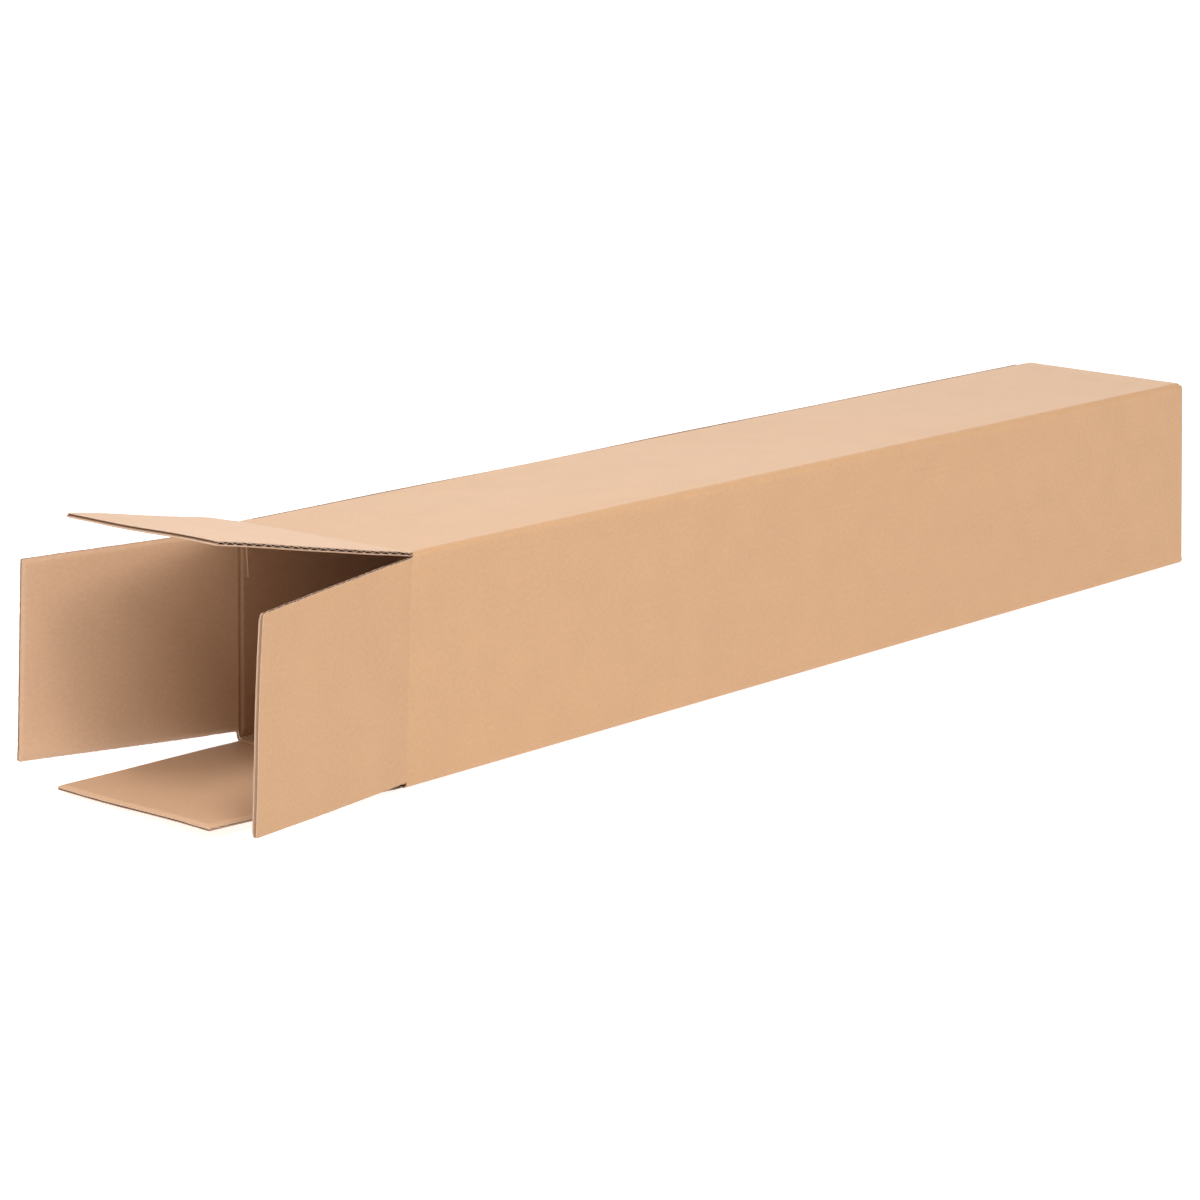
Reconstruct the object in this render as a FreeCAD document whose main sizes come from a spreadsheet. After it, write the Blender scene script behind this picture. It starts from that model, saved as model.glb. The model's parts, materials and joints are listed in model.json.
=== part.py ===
import FreeCAD, Part
import os
import Sketcher

# Long, nearly square shipping carton: one die-cut sheet of single-wall
# corrugated board, scored, folded round and glued along a lap inside.
# The sleeve lies along X with its bottom face on z = 0, and the origin is the
# centre of that face.  -X is the open end with four flaps, +X is the closed end.
#
# Every hinged flap is drawn in a frame of its own: the origin is on the score
# line at the outer liner, -x runs down the flap, +z is the outward normal and
# y runs along the score.  The flutes of the board run along that y as well,
# so a flap's two side edges show the corrugated medium.

doc = FreeCAD.newDocument("long_carton")

# ---------------------------------------------------------------- sheet
sheet = doc.addObject("Spreadsheet::Sheet", "Sizes")
ROWS = [
    # alias, value, meaning
    ("sleeve_long", "770", "mean score plane to outer face of the closed end"),
    ("sleeve_wide", "136", "outside width, Y"),
    ("sleeve_tall", "131", "outside height, Z"),
    ("board", "3", "board thickness"),
    ("fold_outer", "3.2", "outer radius of the long folds"),
    ("fold_inner", "0.8", "inner radius of the long folds"),
    ("score_step", "3.2", "step from one score line to the next, so the flaps stack"),
    ("score_gap", "0.6", "end of a wall to the hinge line of its flap"),
    ("inset_side", "3.8", "side edge of the top and bottom flaps at the score, from the outer face"),
    ("inset_tall", "4.6", "side edge of the front and back flaps at the score, from the outer face"),
    ("taper_side", "3.6", "each side edge of the top and bottom flaps, drawn in by the free edge"),
    ("taper_tall", "2.8", "each side edge of the front and back flaps, drawn in by the free edge"),
    ("top_long", "127.6", "top flap, score to free edge"),
    ("bottom_long", "128.4", "bottom flap"),
    ("back_long", "129.4", "back flap"),
    ("front_long", "130.4", "front flap"),
    ("end_reach", "126", "the same flaps folded in at the closed end, from the outer face"),
    ("top_open", "11.1", "top flap tilted outwards at rest, degrees"),
    ("bottom_open", "-1", "bottom flap, lifted a little off the table"),
    ("back_open", "15.6", "back flap swung outwards"),
    ("front_open", "10.4", "front flap swung outwards"),
    ("pitch", "6.12", "flute pitch"),
    ("liner", "0.4", "liner thickness"),
    ("medium", "0.35", "corrugated medium thickness"),
    ("crush_thin", "0.4", "crushed board beside the score"),
    ("crush_from", "3.3", "score to the foot of the crushed slope"),
    ("crush_to", "7", "score to the full board"),
    ("score_land", "0.1", "score to the first edge of a flap"),
    ("tab_wide", "31", "glue lap, down from the top wall"),
    ("tab_set", "8.3", "glue lap, set back from the score plane"),
    ("tab_slant", "5", "slant at each end of the glue lap"),
    ("seam_wide", "0.5", "gap between the top wall's fold and the back wall's cut edge"),
    ("seam_drop", "1.2", "that cut edge, below the top face"),
    ("seam_fold", "3", "outer radius of the top wall's fold at that gap"),
]
for i, (alias, value, meaning) in enumerate(ROWS, start=1):
    sheet.set("A%d" % i, alias)
    sheet.set("B%d" % i, value)
    sheet.set("C%d" % i, meaning)
    sheet.setAlias("B%d" % i, alias)
# amplitude of the corrugated medium, worked out from the cells above
ROW_AMP = len(ROWS) + 1
sheet.set("A%d" % ROW_AMP, "swing")
sheet.set("B%d" % ROW_AMP, "=(board - 2 * liner - medium) / 2")
sheet.setAlias("B%d" % ROW_AMP, "swing")
doc.recompute()


def cell(name):
    """Value of one cell."""
    return float(sheet.get(name))


def ex(text):
    """Expression on the sheet: every bare alias gets the sheet's name."""
    out, word = "", ""
    names = [r[0] for r in ROWS] + ["swing"]
    for ch in text + " ":
        if ch.isalnum() or ch == "_":
            word += ch
        else:
            out += ("Sizes." + word) if word in names else word
            out += ch
            word = ""
    return out.strip()


def value(text):
    """Number that an expression gives now, to place a sketch's points."""
    return float(sheet.evalExpression(ex(text)))


def plane(body, role):
    for f in body.Origin.OriginFeatures:
        if f.Role == role:
            return f
    raise RuntimeError(role)


def polygon(body, name, role, points, offset=None):
    """Closed polygon sketch on an origin plane of the body.  Each corner's two
    coordinates are constrained from the origin and bound to the sheet."""
    sk = body.newObject("Sketcher::SketchObject", name)
    sk.AttachmentSupport = [(plane(body, role), "")]
    sk.MapMode = "FlatFace"
    if offset:
        sk.setExpression("AttachmentOffset.Base.z", ex(offset))
    nums = [(value(a), value(b)) for a, b in points]
    n = len(nums)
    for k in range(n):
        p, q = nums[k], nums[(k + 1) % n]
        sk.addGeometry(Part.LineSegment(FreeCAD.Vector(p[0], p[1], 0),
                                        FreeCAD.Vector(q[0], q[1], 0)), False)
    for k in range(n):
        sk.addConstraint(Sketcher.Constraint("Coincident", k, 2, (k + 1) % n, 1))
    for k, (a, b) in enumerate(points):
        for kind, text, num in (("DistanceX", a, nums[k][0]), ("DistanceY", b, nums[k][1])):
            c = sk.addConstraint(Sketcher.Constraint(kind, -1, 1, k, 1, num))
            tag = "%s%d" % ("u" if kind == "DistanceX" else "v", k)
            sk.renameConstraint(c, tag)
            sk.setExpression("Constraints." + tag, ex(text))
    return sk


def pad(body, name, sk, length, both=False, flip=False):
    p = body.newObject("PartDesign::Pad", name)
    p.Profile = sk
    p.setExpression("Length", ex(length))
    if both:
        p.Midplane = True
    if flip:
        p.Reversed = True
    return p


# ---------------------------------------------------------------- sleeve
sleeve = doc.addObject("PartDesign::Body", "tube_sleeve")
sleeve.Label = "tube_sleeve"

# Section of the four walls, extruded along X from the front wall's score to
# the innermost end flap.  On the YZ plane a sketch's x is Y and its y is Z.
X_FRONT = "(-sleeve_long / 2 + 1.5 * score_step)"
X_TOP = "(-sleeve_long / 2 + 0.5 * score_step)"
X_BACK = "(-sleeve_long / 2 - 0.5 * score_step)"
X_BOTTOM = "(-sleeve_long / 2 - 1.5 * score_step)"
X_TUBE = "(%s + score_gap)" % X_FRONT
X_END = "(sleeve_long / 2 - 4 * board)"

outer = polygon(sleeve, "wall_section_outer", "YZ_Plane", [
    ("-sleeve_wide / 2", "0"), ("sleeve_wide / 2", "0"),
    ("sleeve_wide / 2", "sleeve_tall"), ("-sleeve_wide / 2", "sleeve_tall")], X_TUBE)
tube = pad(sleeve, "tube_blank", outer, "%s - %s" % (X_END, X_TUBE))
doc.recompute()

# three long folds are rounded before the inside is cut out; the fourth corner
# is the glued joint, which gets its own shape below
def at_joint(e):
    p = e.Vertexes[0].Point
    return p.y > 0 and p.z > cell("sleeve_tall") / 2


long_edges = ["Edge%d" % (i + 1) for i, e in enumerate(tube.Shape.Edges)
              if abs(e.Vertexes[0].X - e.Vertexes[1].X) > 100 and not at_joint(e)]
assert len(long_edges) == 3
folds = sleeve.newObject("PartDesign::Fillet", "long_folds")
folds.Base = (tube, long_edges)
folds.setExpression("Radius", ex("fold_outer"))
doc.recompute()

inner = polygon(sleeve, "wall_section_inner", "YZ_Plane", [
    ("-sleeve_wide / 2 + board", "board"), ("sleeve_wide / 2 - board", "board"),
    ("sleeve_wide / 2 - board", "sleeve_tall - board"),
    ("-sleeve_wide / 2 + board", "sleeve_tall - board")], X_TUBE)
hollow = sleeve.newObject("PartDesign::Pocket", "hollow")
hollow.Profile = inner
hollow.Reversed = True
hollow.setExpression("Length", ex("%s - %s" % (X_END, X_TUBE)))
doc.recompute()
v_blank = folds.Shape.Volume
v_cut = v_blank - hollow.Shape.Volume
v_want = ((cell("sleeve_wide") - 2 * cell("board")) * (cell("sleeve_tall") - 2 * cell("board"))
          * (value(X_END) - value(X_TUBE)))
print("hollow cut", round(v_cut), "wanted", round(v_want))
assert abs(v_cut - v_want) < 1e-3 * v_want

# small inner radius where the board is creased along the folds
inner_edges = []
hw, b, tall = cell("sleeve_wide") / 2, cell("board"), cell("sleeve_tall")
for i, e in enumerate(hollow.Shape.Edges):
    p, q = e.Vertexes[0].Point, e.Vertexes[-1].Point
    if abs(p.x - q.x) > 100 and abs(abs(p.y) - (hw - b)) < 0.01 and \
            min(abs(p.z - b), abs(p.z - (tall - b))) < 0.01 and not at_joint(e):
        inner_edges.append("Edge%d" % (i + 1))
assert len(inner_edges) == 3
creased = sleeve.newObject("PartDesign::Fillet", "long_creases")
creased.Base = (hollow, inner_edges)
creased.setExpression("Radius", ex("fold_inner"))
doc.recompute()

# Wall strips beyond the front wall's score: the scores are stepped so that the
# front flap closes innermost, then top, back and bottom.
SIDE = "(sleeve_wide / 2 - inset_side)"
LOW = "inset_tall"
HIGH = "(sleeve_tall - inset_tall)"
back_lip = polygon(sleeve, "back_lip_section", "YZ_Plane", [
    ("sleeve_wide / 2 - board", LOW), ("sleeve_wide / 2", LOW),
    ("sleeve_wide / 2", HIGH), ("sleeve_wide / 2 - board", HIGH)],
    "%s + 1" % X_TUBE)
pad(sleeve, "back_lip", back_lip, "%s + 1 - %s - score_gap" % (X_TUBE, X_BACK), flip=True)
top_lip = polygon(sleeve, "top_lip_section", "YZ_Plane", [
    ("-" + SIDE, "sleeve_tall - board"), (SIDE, "sleeve_tall - board"),
    (SIDE, "sleeve_tall"), ("-" + SIDE, "sleeve_tall")], "%s + 1" % X_TUBE)
pad(sleeve, "top_lip", top_lip, "%s + 1 - %s - score_gap" % (X_TUBE, X_TOP), flip=True)
bottom_lip = polygon(sleeve, "bottom_lip_section", "YZ_Plane", [
    ("-" + SIDE, "0"), (SIDE, "0"), (SIDE, "board"), ("-" + SIDE, "board")],
    "%s + 1" % X_TUBE)
pad(sleeve, "bottom_lip", bottom_lip, "%s + 1 - %s - score_gap" % (X_TUBE, X_BOTTOM), flip=True)
doc.recompute()

# Closed end: the same four flaps folded in and stuck down face to face, bottom
# innermost, front outermost.  Each is an L of wall and flap with a rounded fold.
END = "(sleeve_long / 2)"


def end_flap_xz(name, level, top, reach):
    """Top or bottom end flap: L in XZ, padded across Y."""
    face = "(%s - %d * board)" % (END, level)          # outer face of the layer
    back = "(%s - %d * board - board)" % (END, level)
    start = "(%s - 4 * board - 1)" % END
    zz = (lambda s: "sleeve_tall - (%s)" % s) if top else (lambda s: "(%s)" % s)
    pts = [(start, zz("0")), (face + " - 2.2", zz("0")), (face + " - 0.65", zz("0.65")),
           (face, zz("2.2")), (face, zz(reach)), (back, zz(reach)), (back, zz("board")),
           (start, zz("board"))]
    sk = polygon(sleeve, name + "_section", "XZ_Plane", pts)
    return pad(sleeve, name, sk, "2 * %s" % SIDE, both=True)


def end_flap_xy(name, level, back_side, reach):
    """Front or back end flap: L in XY, padded up Z between its insets."""
    face = "(%s - %d * board)" % (END, level)
    inner_face = "(%s - %d * board - board)" % (END, level)
    start = "(%s - 4 * board - 1)" % END
    yy = (lambda s: "sleeve_wide / 2 - (%s)" % s) if back_side else \
         (lambda s: "-sleeve_wide / 2 + (%s)" % s)
    pts = [(start, yy("0")), (face + " - 2.2", yy("0")), (face + " - 0.65", yy("0.65")),
           (face, yy("2.2")), (face, yy(reach)), (inner_face, yy(reach)),
           (inner_face, yy("board")), (start, yy("board"))]
    sk = polygon(sleeve, name + "_section", "XY_Plane", pts, LOW)
    return pad(sleeve, name, sk, "sleeve_tall - 2 * inset_tall")


end_flap_xy("end_front", 0, False, "end_reach + 3")
end_flap_xz("end_top", 1, True, "end_reach")
end_flap_xy("end_back", 2, True, "end_reach + 3")
end_flap_xz("end_bottom", 3, False, "end_reach")
doc.recompute()

# Glue lap: the top wall carries on past its fold as a tab, creased down and
# glued inside the back wall.  Its ends are cut on a slant.
tab_hi = "(sleeve_tall - board + 0.5)"
tab_lo = "(sleeve_tall - board - tab_wide)"
tab_x0 = "(-sleeve_long / 2 + tab_set)"
tab_x1 = "(sleeve_long / 2 - 4 * board - tab_set)"
tab = polygon(sleeve, "glue_lap_outline", "XZ_Plane", [
    (tab_x0, tab_hi), (tab_x0 + " + tab_slant", tab_lo),
    (tab_x1 + " - tab_slant", tab_lo), (tab_x1, tab_hi)],
    "-(sleeve_wide / 2 - board + 0.5)")
lap = pad(sleeve, "glue_lap", tab, "board + 0.5")
doc.recompute()

# Outside the lap, the top wall's fold and the back wall's cut edge: the fold
# rolls over inside the back wall, which stands against it with its edge bare a
# little below the top face.
FOLD_R = "seam_fold"
FOLD_Y = "(sleeve_wide / 2 - board - seam_wide - seam_fold)"
joint_pts = [("sleeve_wide / 2 + 2", "sleeve_tall - seam_drop"),
             ("sleeve_wide / 2 - board", "sleeve_tall - seam_drop"),
             ("sleeve_wide / 2 - board", "sleeve_tall - %s" % FOLD_R)]
for a in (90, 75, 60, 45, 30, 15, 0):
    joint_pts.append(("%s + %s * sin(%d deg)" % (FOLD_Y, FOLD_R, a),
                      "sleeve_tall - %s + %s * cos(%d deg)" % (FOLD_R, FOLD_R, a)))
joint_pts += [(FOLD_Y, "sleeve_tall + 2"), ("sleeve_wide / 2 + 2", "sleeve_tall + 2")]
seam = polygon(sleeve, "joint_outline", "YZ_Plane", joint_pts, X_TUBE)
before = sleeve.Shape.Volume
seam_cut = sleeve.newObject("PartDesign::Pocket", "lap_joint")
seam_cut.Profile = seam
seam_cut.Reversed = True
seam_cut.setExpression("Length", ex("%s - %s" % (X_END, X_TUBE)))
doc.recompute()
print("lap joint cut", round(before - seam_cut.Shape.Volume))
assert 3000 < before - seam_cut.Shape.Volume < 9000


# ---------------------------------------------------------------- hinged flaps
def flap(name, long_, half_wide, taper, turns, groove_out):
    """One hinged flap.  long_, half_wide and taper are expressions; turns is the
    number of whole flute pitches from the first channel to the free edge;
    groove_out puts the channel that the free edge cuts open under the outer liner."""
    body = doc.addObject("PartDesign::Body", name)
    body.Label = name
    side = polygon(body, name + "_side", "XZ_Plane", [
        ("-score_land", "0"), ("-score_land", "-0.75 * crush_thin"),
        ("-crush_from", "-crush_thin"), ("-crush_to", "-board"),
        ("-" + long_, "-board"), ("-" + long_, "0")])
    slab = pad(body, name + "_board", side, "2 * " + half_wide, both=True)
    doc.recompute()
    blank = slab.Shape.Volume

    # the flap narrows a little towards its free edge
    for tag, sign in (("_left", ""), ("_right", "-")):
        wedge = polygon(body, name + tag + "_taper", "XY_Plane", [
            ("-score_land", "%s%s" % (sign, half_wide)),
            ("-%s - 1" % long_, "%s(%s - %s)" % (sign, half_wide, taper)),
            ("-%s - 1" % long_, "%s(%s + 2)" % (sign, half_wide)),
            ("-score_land", "%s(%s + 2)" % (sign, half_wide))])
        trim = body.newObject("PartDesign::Pocket", name + tag + "_trim")
        trim.Profile = wedge
        trim.Type = "ThroughAll"
        trim.Midplane = True
        doc.recompute()
    full = trim.Shape.Volume
    print(name, "blank", round(blank), "tapered", round(full))
    assert 0.95 < full / blank < 0.99

    # one channel on each side of the medium; the medium is a sine of the pitch
    def channel(tag, centre, up):
        s = "-" if up else ""
        pts = []
        for k in (-160, -120, -80, -40, 0, 40, 80, 120, 160):
            x = "%s + pitch * %d / 360" % (centre, k)
            if abs(k) == 160:
                z = "-liner" if up else "-board + liner"
            else:
                thick = "medium / 2 * sqrt(1 + (6.2832 * swing / pitch * sin(%d deg)) ^ 2)" % abs(k)
                if up:
                    z = "-board / 2 - swing * cos(%d deg) + %s" % (abs(k), thick)
                else:
                    z = "-board / 2 + swing * cos(%d deg) - %s" % (abs(k), thick)
            pts.append((x, z))
        return polygon(body, name + tag, "XZ_Plane", pts)

    # channels are drawn at the free edge and repeated back towards the score
    edge = "(-%s)" % long_
    half = "(-%s + pitch / 2)" % long_
    made = []
    for tag, centre, up, count in (
            ("_flute_a", edge, groove_out, turns),
            ("_flute_b", half, not groove_out, turns)):
        sk = channel(tag, centre, up)
        cut = body.newObject("PartDesign::Pocket", name + tag + "_cut")
        cut.Profile = sk
        cut.Type = "ThroughAll"
        cut.Midplane = True
        doc.recompute()
        pat = body.newObject("PartDesign::LinearPattern", name + tag + "_row")
        pat.Originals = [cut]
        axis = [f for f in body.Origin.OriginFeatures if f.Role == "X_Axis"][0]
        pat.Direction = (axis, [""])
        pat.setExpression("Length", ex("pitch * %d" % (count - 1)))
        pat.Occurrences = count
        body.Tip = pat
        doc.recompute()
        made.append(pat)
    print(name, "full", round(full), "fluted", round(body.Shape.Volume),
          "solids", len(body.Shape.Solids))
    return body


half_tall = "(sleeve_tall / 2 - inset_tall)"
f_top = flap("flap_top", "top_long", SIDE, "taper_side", 19, False)
f_bottom = flap("flap_bottom", "bottom_long", SIDE, "taper_side", 19, False)
f_back = flap("flap_back", "back_long", half_tall, "taper_tall", 19, False)
f_front = flap("flap_front", "front_long", half_tall, "taper_tall", 19, True)


def hang(body, x, y, z, roll, opened):
    """Put a flap on its score line: roll turns its outward normal about X, and
    opened swings it outwards about the score."""
    body.setExpression("Placement.Base.x", ex(x))
    body.setExpression("Placement.Base.y", ex(y))
    body.setExpression("Placement.Base.z", ex(z))
    rot = FreeCAD.Rotation(FreeCAD.Vector(1, 0, 0), roll) * \
        FreeCAD.Rotation(FreeCAD.Vector(0, 1, 0), cell(opened))
    body.Placement = FreeCAD.Placement(
        FreeCAD.Vector(value(x), value(y), value(z)), rot)


hang(f_top, X_TOP, "0", "sleeve_tall", 0, "top_open")
hang(f_bottom, X_BOTTOM, "0", "0", 180, "bottom_open")
hang(f_back, X_BACK, "sleeve_wide / 2", "sleeve_tall / 2", -90, "back_open")
hang(f_front, X_FRONT, "-sleeve_wide / 2", "sleeve_tall / 2", 90, "front_open")
doc.recompute()

# ---------------------------------------------------------------- checks, files
for obj in doc.Objects:
    for state in ("Invalid", "Error"):
        if state in obj.State:
            raise RuntimeError("%s is %s" % (obj.Name, obj.State))

PARTS = [sleeve, f_top, f_bottom, f_back, f_front]
os.makedirs("parts", exist_ok=True)
for body in PARTS:
    shape = body.Shape
    if shape.isNull() or not shape.isValid():
        raise RuntimeError(body.Label + " has no valid shape")
    assert len(shape.Solids) == 1, body.Label
for body in PARTS:
    shape = body.Shape
    shape.exportStep("parts/%s.step" % body.Label)
    bb = shape.BoundBox
    print("%-12s volume %9.0f  x %.1f..%.1f  y %.1f..%.1f  z %.1f..%.1f  faces %d" % (
        body.Label, shape.Volume, bb.XMin, bb.XMax, bb.YMin, bb.YMax, bb.ZMin, bb.ZMax,
        len(shape.Faces)))
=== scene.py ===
import json
import math

import bpy
import numpy as np
from mathutils import Matrix, Vector


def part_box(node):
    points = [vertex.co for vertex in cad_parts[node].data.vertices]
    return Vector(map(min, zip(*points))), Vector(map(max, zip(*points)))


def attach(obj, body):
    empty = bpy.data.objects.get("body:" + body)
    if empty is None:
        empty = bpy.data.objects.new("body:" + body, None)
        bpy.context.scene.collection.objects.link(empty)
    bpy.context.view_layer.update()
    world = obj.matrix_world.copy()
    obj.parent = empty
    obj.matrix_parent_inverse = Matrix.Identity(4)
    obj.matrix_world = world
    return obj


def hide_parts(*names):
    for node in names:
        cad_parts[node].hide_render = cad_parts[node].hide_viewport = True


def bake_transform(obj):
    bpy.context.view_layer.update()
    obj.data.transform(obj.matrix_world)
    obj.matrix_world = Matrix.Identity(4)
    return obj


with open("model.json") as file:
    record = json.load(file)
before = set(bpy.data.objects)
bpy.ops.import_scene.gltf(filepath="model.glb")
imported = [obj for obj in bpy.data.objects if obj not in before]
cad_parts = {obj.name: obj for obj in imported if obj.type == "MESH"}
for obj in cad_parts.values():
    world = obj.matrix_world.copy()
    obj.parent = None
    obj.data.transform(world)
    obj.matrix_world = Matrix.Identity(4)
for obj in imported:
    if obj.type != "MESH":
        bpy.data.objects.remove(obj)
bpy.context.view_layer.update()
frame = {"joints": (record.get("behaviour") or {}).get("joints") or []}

# Long square shipping carton of single-wall corrugated board.  Every length in
# this file is in millimetres until a mesh is written, which is in metres.

LO, HI = (v * 1000 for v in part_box("tube_sleeve"))
HALF, TALL, X_SHUT = HI.y, HI.z, HI.x
HINGE = {j["child"]: [c * 1000 for c in j["pos_m"]] for j in frame["joints"]}

BOARD, LINER, WEB, PITCH = 3.0, 0.40, 0.32, 6.12
SLOT_Y, SLOT_Z = 3.8, 4.6      # slots beside the flaps, from the planes of the walls
LIP = 0.6                      # end of a wall to the hinge line of its flap
X_MOUTH = HINGE["front_flap"][0] + LIP
BEND_FROM, BEND_TO = -0.6, 3.4  # where a flap bends, from its hinge line outwards
LAP_TOP, LAP_LOW = 128.0, 97.0

TWO_PI = 2 * math.pi


# ------------------------------------------------------------------ helpers
def smooth(t):
    t = np.clip(t, 0.0, 1.0)
    return t * t * (3 - 2 * t)


def waves(seed, a, b, size, n=7):
    """Smooth noise of about unit size over the sheet, from seeded waves."""
    r = np.random.default_rng(seed)
    out = np.zeros(np.broadcast(a, b).shape)
    for _ in range(n):
        turn = r.uniform(0, TWO_PI)
        k = TWO_PI / (size * r.uniform(0.7, 1.8))
        out += np.sin(k * (np.cos(turn) * a + np.sin(turn) * b) + r.uniform(0, TWO_PI))
    return out / math.sqrt(n / 2)


def ragged(seed, s, size):
    """Uneven line along an edge: seeded values joined smoothly, about unit size."""
    r = np.random.default_rng(seed)
    s = np.asarray(s, float) / size
    table = r.normal(0, 1, 4096)
    k = np.floor(s).astype(int)
    f = smooth(s - k)
    return table[k % 4096] * (1 - f) + table[(k + 1) % 4096] * f


def lines(*stops):
    """Grid lines through the given stops: (value, step to the next), ..., last."""
    out = []
    for (a, step), b in zip(stops[:-1], [s[0] if isinstance(s, tuple) else s for s in stops[1:]]):
        n = max(1, int(round(abs(b - a) / step)))
        out += [a + (b - a) * k / n for k in range(n)]
    out.append(stops[-1])
    return np.array(out, float)


class Build:
    """Collects shells of quads, then writes one mesh."""

    def __init__(self):
        self.co, self.sheet, self.edge, self.fold = [], [], [], []
        self.faces, self.mat, self.n = [], [], 0

    def shell(self, a, b, mask, sheet, edge, fold, mats, skip=()):
        """Thin closed solid between two point grids.  mask says which cells exist;
        mats are the materials of side a, of side b and of the cut edges."""
        n, m = a.shape[:2]
        ids = np.arange(n * m).reshape(n, m)
        lo, hi = ids, ids + n * m
        i0, j0 = np.nonzero(mask)
        faces, mat = [], []

        def put(q, k):
            if len(q):
                faces.append(q)
                mat.append(np.full(len(q), k))

        put(np.stack([lo[i0, j0], lo[i0 + 1, j0], lo[i0 + 1, j0 + 1], lo[i0, j0 + 1]], 1), mats[0])
        put(np.stack([hi[i0, j0], hi[i0, j0 + 1], hi[i0 + 1, j0 + 1], hi[i0 + 1, j0]], 1), mats[1])
        pad = np.zeros((n + 1, m + 1), bool)
        pad[1:n, 1:m] = mask
        c = pad[1:n, 1:m]
        if "u0" not in skip:
            i, j = np.nonzero(c & ~pad[0:n - 1, 1:m])
            put(np.stack([hi[i, j + 1], hi[i, j], lo[i, j], lo[i, j + 1]], 1), mats[2])
        if "u1" not in skip:
            i, j = np.nonzero(c & ~pad[2:n + 1, 1:m])
            put(np.stack([hi[i + 1, j], hi[i + 1, j + 1], lo[i + 1, j + 1], lo[i + 1, j]], 1), mats[2])
        if "v0" not in skip:
            i, j = np.nonzero(c & ~pad[1:n, 0:m - 1])
            put(np.stack([hi[i, j], hi[i + 1, j], lo[i + 1, j], lo[i, j]], 1), mats[2])
        if "v1" not in skip:
            i, j = np.nonzero(c & ~pad[1:n, 2:m + 1])
            put(np.stack([hi[i + 1, j + 1], hi[i, j + 1], lo[i, j + 1], lo[i + 1, j + 1]], 1), mats[2])
        q = np.concatenate(faces)
        k = np.concatenate(mat)
        # outward side: side a looks away from side b
        ci, cj = i0[len(i0) // 2], j0[len(j0) // 2]
        du = a[ci + 1, cj] - a[ci, cj]
        dv = a[ci, cj + 1] - a[ci, cj]
        if np.dot(np.cross(du, dv), a[ci, cj] - b[ci, cj]) < 0:
            q = q[:, ::-1]
        both = lambda x: np.concatenate([x.reshape(n * m, -1)] * 2)
        used, inv = np.unique(q, return_inverse=True)
        self.faces.append(inv.reshape(q.shape) + self.n)
        self.mat.append(k)
        self.co.append(np.concatenate([a.reshape(-1, 3), b.reshape(-1, 3)])[used])
        self.sheet.append(both(sheet)[used])
        self.edge.append(both(edge)[used, 0])
        self.fold.append(both(fold)[used, 0])
        self.n += len(used)

    def write(self, name, materials, angle=38):
        co = np.concatenate(self.co) * 0.001
        faces = np.concatenate(self.faces)
        me = bpy.data.meshes.new(name)
        me.vertices.add(len(co))
        me.vertices.foreach_set("co", co.astype(np.float32).ravel())
        me.loops.add(faces.size)
        me.loops.foreach_set("vertex_index", faces.astype(np.int32).ravel())
        me.polygons.add(len(faces))
        me.polygons.foreach_set("loop_start", np.arange(0, faces.size, 4, dtype=np.int32))
        me.polygons.foreach_set("loop_total", np.full(len(faces), 4, np.int32))
        me.update(calc_edges=True)
        for m in materials:
            me.materials.append(m)
        me.polygons.foreach_set("material_index", np.concatenate(self.mat).astype(np.int32))
        me.polygons.foreach_set("use_smooth", np.ones(len(faces), bool))
        at = me.attributes.new("sheet", "FLOAT_VECTOR", "POINT")
        at.data.foreach_set("vector", np.concatenate(self.sheet).astype(np.float32).ravel())
        # the fold attribute weights the paler band along the long folds: partly rubbed liner, partly a painted
        # highlight
        for key, arr in (("edge", self.edge), ("fold", self.fold)):
            at = me.attributes.new(key, "FLOAT", "POINT")
            at.data.foreach_set("value", np.concatenate(arr).astype(np.float32))
        me.validate()
        me.update()
        me.set_sharp_from_angle(angle=math.radians(angle))
        ob = bpy.data.objects.new(name, me)
        bpy.context.scene.collection.objects.link(ob)
        return ob


# ------------------------------------------------------------------ the set of the carton
# A carton that stands open is a little out of square.  These are the offsets,
# in millimetres, of its corners from the true box.
RACK_MOUTH, RACK_SHUT = -1.4, 3.0
LIFT = {"mouth_front": 0.8, "mouth_back": -1.5, "shut_front": -0.8, "shut_back": -0.8}


def settle(p):
    """Offset of a point of the true box, as rows of (x, y, z)."""
    u = np.clip((p[..., 0] + X_SHUT) / (2 * X_SHUT), 0, 1)
    wy = (p[..., 1] + HALF) / (2 * HALF)
    wz = p[..., 2] / TALL
    dy = (RACK_MOUTH * (1 - u) + RACK_SHUT * u) * (2 * wz - 1)
    front = LIFT["mouth_front"] * (1 - u) + LIFT["shut_front"] * u
    back = LIFT["mouth_back"] * (1 - u) + LIFT["shut_back"] * u
    dz = (front * (1 - wy) + back * wy) * wz
    dx = (0.5 + 2.2 * (1 - wz)) * smooth((p[..., 0] - 230) / 150)
    return np.stack([dx, dy, dz], -1)


def crush(d):
    """Board thickness beside a score, d from the hinge line."""
    return BOARD - 0.7 * np.exp(-(np.abs(d - 0.4) / 1.2) ** 2)


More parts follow.
